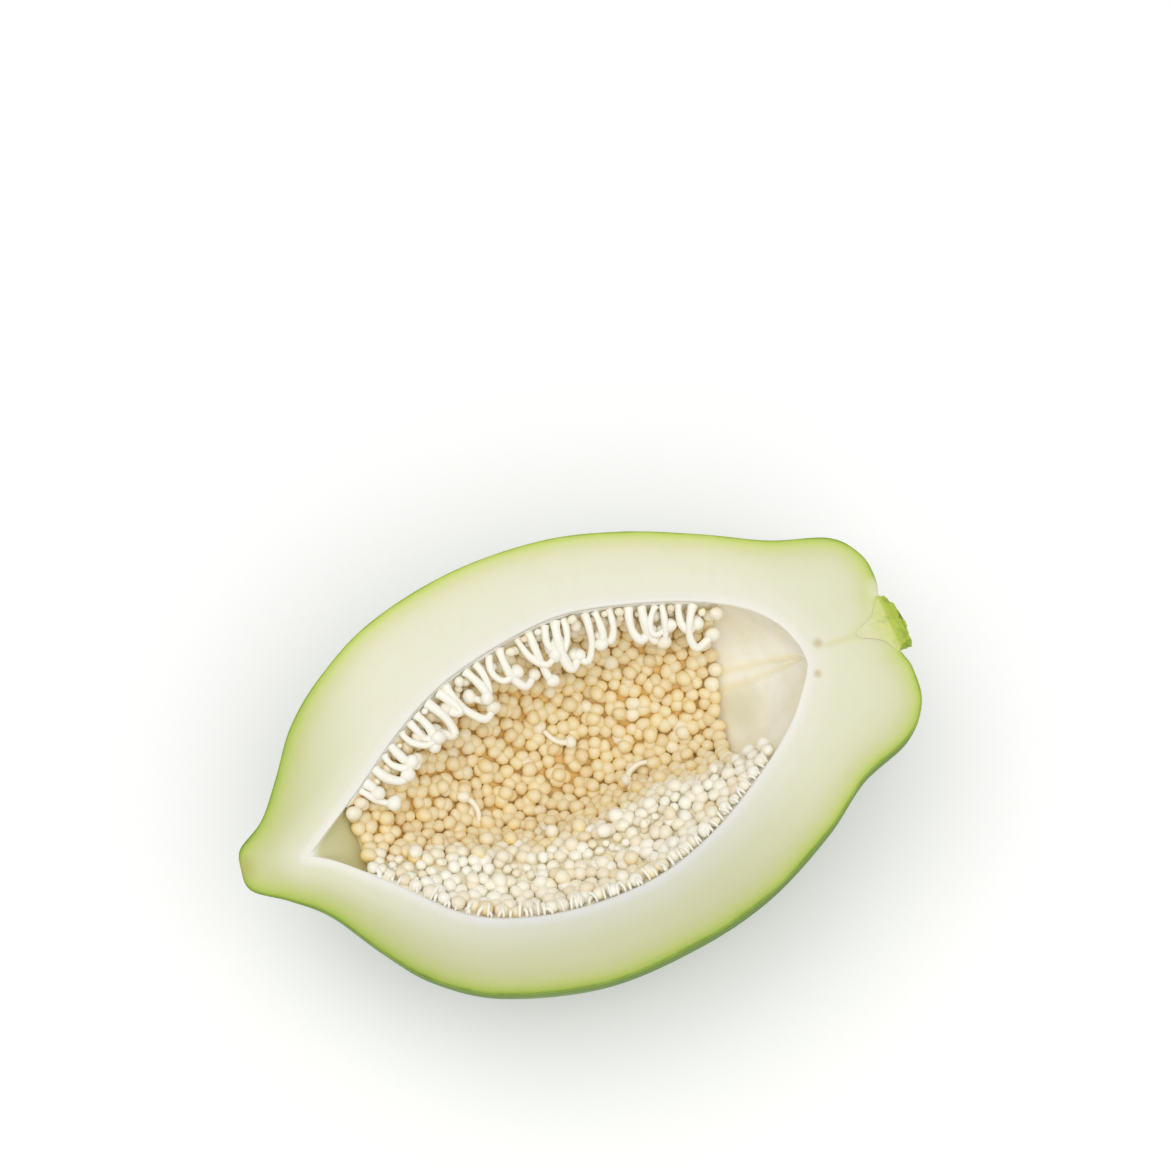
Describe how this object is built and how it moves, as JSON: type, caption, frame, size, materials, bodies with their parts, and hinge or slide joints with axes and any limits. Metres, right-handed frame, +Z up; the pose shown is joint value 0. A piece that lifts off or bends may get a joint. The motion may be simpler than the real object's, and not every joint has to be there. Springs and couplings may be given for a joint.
{
  "type": "papaya half",
  "caption": "Green papaya cut in half lengthwise, lying on its back with the cut face up: pale flesh round an open hollow lined with small seeds, and a cut stalk stub at one end.",
  "frame": {"origin": "middle of the small flat spot on the belly that the half rests on, below its centre of mass", "axes": "+X along the fruit from the blossom tip to the stalk end, +Y across the fruit to the rim with the hanging seeds, +Z up out of the cut face"},
  "size_m": [0.2173, 0.1389, 0.068],
  "materials": {
    "flesh": "moist cut flesh, pale cream with a green layer under a dark green skin",
    "seed_tan": "moist tan seeds in their jelly coats",
    "seed_white": "moist white seeds and stalks",
    "stalk": "rough green stalk stub"
  },
  "bodies": {
    "root": {"fruit_half": "flesh", "seeds_deep": "seed_tan", "seeds_front_rim": "seed_white", "seeds_back_rim": "seed_white", "stalk_stub": "stalk"}
  },
  "joints": []
}
